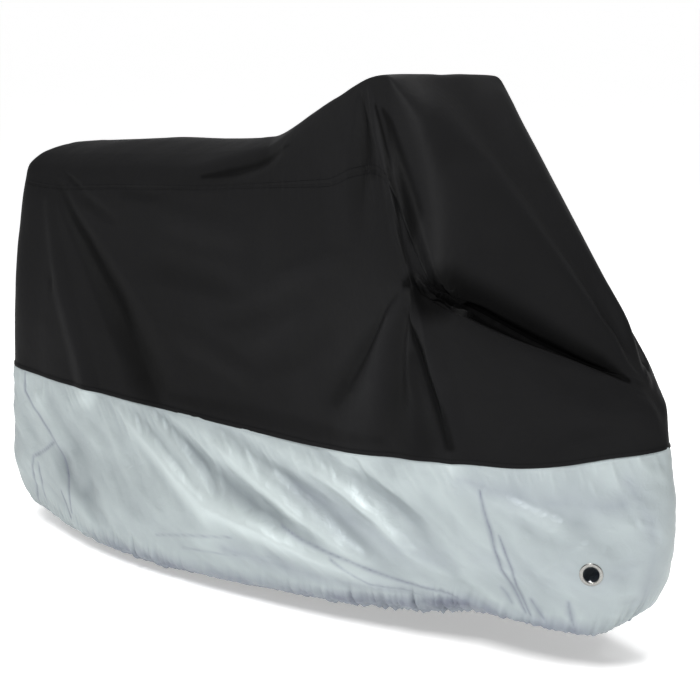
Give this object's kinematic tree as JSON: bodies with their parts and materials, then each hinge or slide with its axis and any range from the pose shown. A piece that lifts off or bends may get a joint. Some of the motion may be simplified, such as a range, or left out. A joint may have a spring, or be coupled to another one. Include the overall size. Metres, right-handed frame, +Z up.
{
  "type": "motorcycle cover",
  "caption": "Fitted two-tone rain cover in its draped shape for a motorcycle: black upper, silver lower band with a gathered hem and metal lock eyelets at the front.",
  "frame": {"origin": "on the centre line 4 mm under the outer face of the top ridge, where the covered machine's screen holds the cover up; the ground lies 1.427 m below", "axes": "+X towards the front, +Y to the rider's left, +Z up"},
  "size_m": [2.1833, 0.7957, 1.4086],
  "materials": {
    "black_cloth": "coated, soft sheen",
    "silver_cloth": "silver coated, satin",
    "eyelet_metal": "nickel plated"
  },
  "bodies": {
    "root": {"centre_panel": "black_cloth", "side_panel_right": "black_cloth", "side_panel_left": "black_cloth", "skirt_right": "silver_cloth", "skirt_left": "silver_cloth", "skirt_front": "silver_cloth", "eyelet_right": "eyelet_metal", "eyelet_left": "eyelet_metal"}
  },
  "joints": []
}
